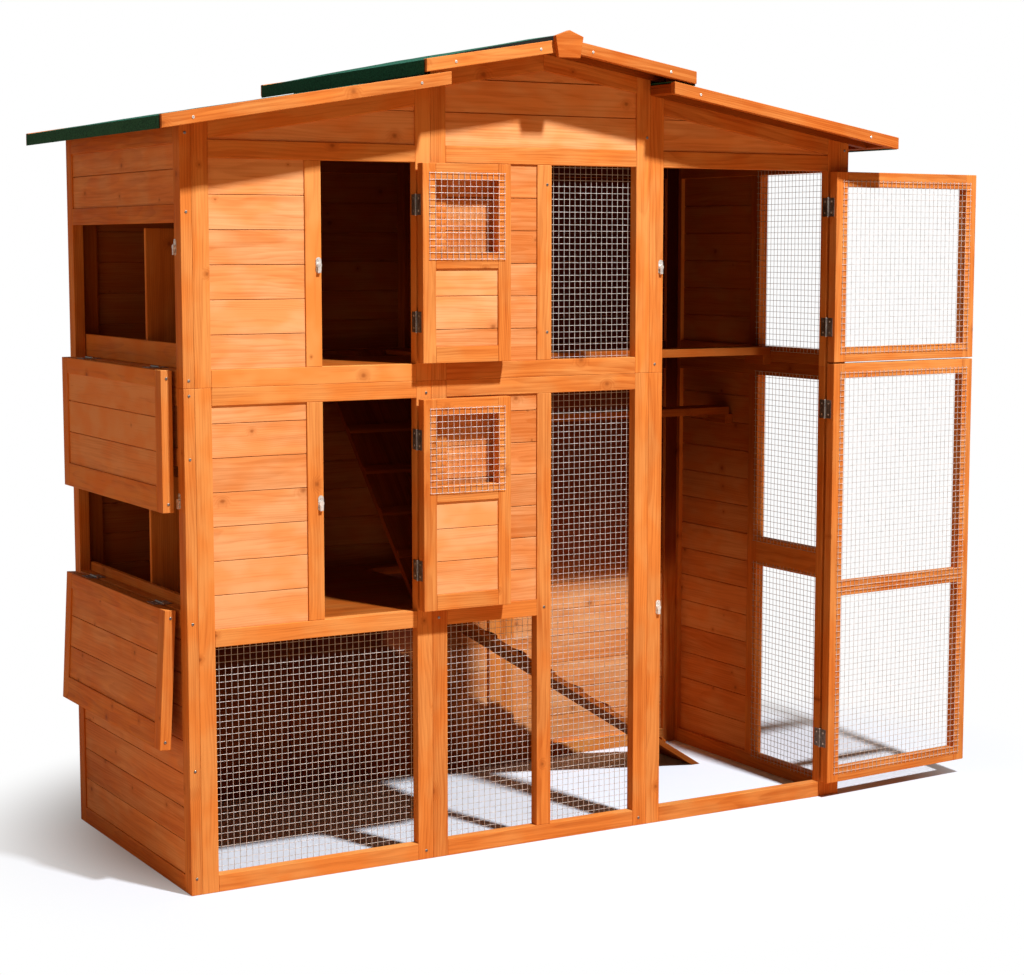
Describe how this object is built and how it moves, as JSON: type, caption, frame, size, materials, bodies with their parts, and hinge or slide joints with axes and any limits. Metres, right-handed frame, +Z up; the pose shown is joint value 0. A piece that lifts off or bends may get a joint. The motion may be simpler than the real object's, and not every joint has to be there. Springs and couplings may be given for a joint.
{
  "type": "chicken coop with run",
  "caption": "Wooden hen house and wire-netted run under one felted stepped roof, with hinged doors, drop-down nest hatches, turn buttons, ramps and perches.",
  "frame": {"origin": "middle of the underside of the front centre bay's bottom rail, on the ground", "axes": "+X along the front to the right as seen from the front, +Y to the back, +Z up"},
  "size_m": [2.482, 0.996, 2.056],
  "materials": {
    "stained_timber": "honey stain, satin",
    "stained_boards": "honey stain, satin",
    "inner_timber": "honey stain, matt",
    "galvanised_wire": "galvanised",
    "hinge_steel": "black, satin",
    "zinc": "bright zinc",
    "green_felt": "mineral felt, matt"
  },
  "bodies": {
    "coop": {"left_side_frame": "stained_timber", "right_side_frame": "stained_timber", "back_frame": "stained_timber", "front_left_frame": "stained_timber", "front_centre_frame": "stained_timber", "front_right_frame": "stained_timber", "roof_fascias": "stained_timber", "ridge_end_block": "stained_timber", "left_side_boards": "stained_boards", "right_side_boards": "stained_boards", "back_boards": "stained_boards", "front_left_boards": "stained_boards", "front_centre_boards": "stained_boards", "front_right_boards": "stained_boards", "house_partition": "inner_timber", "lower_house_floor": "inner_timber", "upper_house_floor": "inner_timber", "nest_boxes": "inner_timber", "storey_ramp": "inner_timber", "run_ramp": "inner_timber", "perches": "inner_timber", "left_lower_roof_deck": "inner_timber", "left_upper_roof_deck": "inner_timber", "right_upper_roof_deck": "inner_timber", "right_lower_roof_deck": "inner_timber", "roof_beams": "inner_timber", "lower_roof_felt": "green_felt", "upper_roof_felt": "green_felt", "front_left_mesh": "galvanised_wire", "front_centre_mesh": "galvanised_wire", "right_side_mesh": "galvanised_wire", "hinge_fixed_leaves": "hinge_steel", "hinge_pins": "zinc", "button_plates": "zinc"},
    "upper_house_door": {"upper_house_door_frame": "stained_timber", "upper_house_door_boards": "stained_boards", "upper_house_door_mesh": "galvanised_wire", "upper_house_door_hinge_leaves": "hinge_steel"},
    "lower_house_door": {"lower_house_door_frame": "stained_timber", "lower_house_door_boards": "stained_boards", "lower_house_door_mesh": "galvanised_wire", "lower_house_door_hinge_leaves": "hinge_steel"},
    "upper_run_door": {"upper_run_door_frame": "stained_timber", "upper_run_door_mesh": "galvanised_wire", "upper_run_door_hinge_leaves": "hinge_steel"},
    "lower_run_door": {"lower_run_door_frame": "stained_timber", "lower_run_door_mesh": "galvanised_wire", "lower_run_door_hinge_leaves": "hinge_steel"},
    "upper_nest_hatch": {"upper_nest_hatch_frame": "stained_timber", "upper_nest_hatch_boards": "stained_boards", "upper_nest_hatch_hinge_leaves": "hinge_steel"},
    "lower_nest_hatch": {"lower_nest_hatch_frame": "stained_timber", "lower_nest_hatch_boards": "stained_boards", "lower_nest_hatch_hinge_leaves": "hinge_steel"},
    "upper_house_door_button": {"upper_house_door_button": "zinc"},
    "lower_house_door_button": {"lower_house_door_button": "zinc"},
    "upper_run_door_button": {"upper_run_door_button": "zinc"},
    "lower_run_door_button": {"lower_run_door_button": "zinc"},
    "upper_nest_hatch_button": {"upper_nest_hatch_button": "zinc"},
    "lower_nest_hatch_button": {"lower_nest_hatch_button": "zinc"}
  },
  "joints": [
    {"name": "upper_house_door_swing", "type": "hinge", "parent": "coop", "child": "upper_house_door", "pos_m": [-0.364, -0.019, 1.49], "axis": [0, 0, -1], "range_deg": [0, 180]},
    {"name": "lower_house_door_swing", "type": "hinge", "parent": "coop", "child": "lower_house_door", "pos_m": [-0.364, -0.019, 0.898], "axis": [0, 0, -1], "range_deg": [0, 180]},
    {"name": "upper_run_door_swing", "type": "hinge", "parent": "coop", "child": "upper_run_door", "pos_m": [0.896, -0.019, 1.4745], "axis": [0, 0, -1], "range_deg": [0, 184]},
    {"name": "lower_run_door_swing", "type": "hinge", "parent": "coop", "child": "lower_run_door", "pos_m": [0.896, -0.019, 0.6285], "axis": [0, 0, -1], "range_deg": [0, 184]},
    {"name": "upper_nest_hatch_swing", "type": "hinge", "parent": "coop", "child": "upper_nest_hatch", "pos_m": [-0.973, 0.387, 1.248], "axis": [0, 1, 0], "range_deg": [0, 180]},
    {"name": "lower_nest_hatch_swing", "type": "hinge", "parent": "coop", "child": "lower_nest_hatch", "pos_m": [-0.973, 0.387, 0.683], "axis": [0, 1, 0], "range_deg": [0, 176.8]},
    {"name": "upper_house_door_button_turn", "type": "hinge", "parent": "coop", "child": "upper_house_door_button", "pos_m": [-0.622, -0.014, 1.487], "axis": [0, -1, 0], "range_deg": [0, 90]},
    {"name": "lower_house_door_button_turn", "type": "hinge", "parent": "coop", "child": "lower_house_door_button", "pos_m": [-0.622, -0.014, 0.918], "axis": [0, -1, 0], "range_deg": [0, 90]},
    {"name": "upper_run_door_button_turn", "type": "hinge", "parent": "coop", "child": "upper_run_door_button", "pos_m": [0.354, -0.014, 1.478], "axis": [0, -1, 0], "range_deg": [0, 90]},
    {"name": "lower_run_door_button_turn", "type": "hinge", "parent": "coop", "child": "lower_run_door_button", "pos_m": [0.354, -0.014, 0.583], "axis": [0, -1, 0], "range_deg": [0, 90]},
    {"name": "upper_nest_hatch_button_turn", "type": "hinge", "parent": "coop", "child": "upper_nest_hatch_button", "pos_m": [-0.968, 0.02, 1.53], "axis": [1, 0, 0], "range_deg": [0, 90]},
    {"name": "lower_nest_hatch_button_turn", "type": "hinge", "parent": "coop", "child": "lower_nest_hatch_button", "pos_m": [-0.968, 0.02, 0.94], "axis": [1, 0, 0], "range_deg": [0, 90]}
  ],
  "couplings": [
    {"joint": "lower_nest_hatch_swing", "follows": "upper_nest_hatch_swing", "ratio": 0.98222}
  ]
}
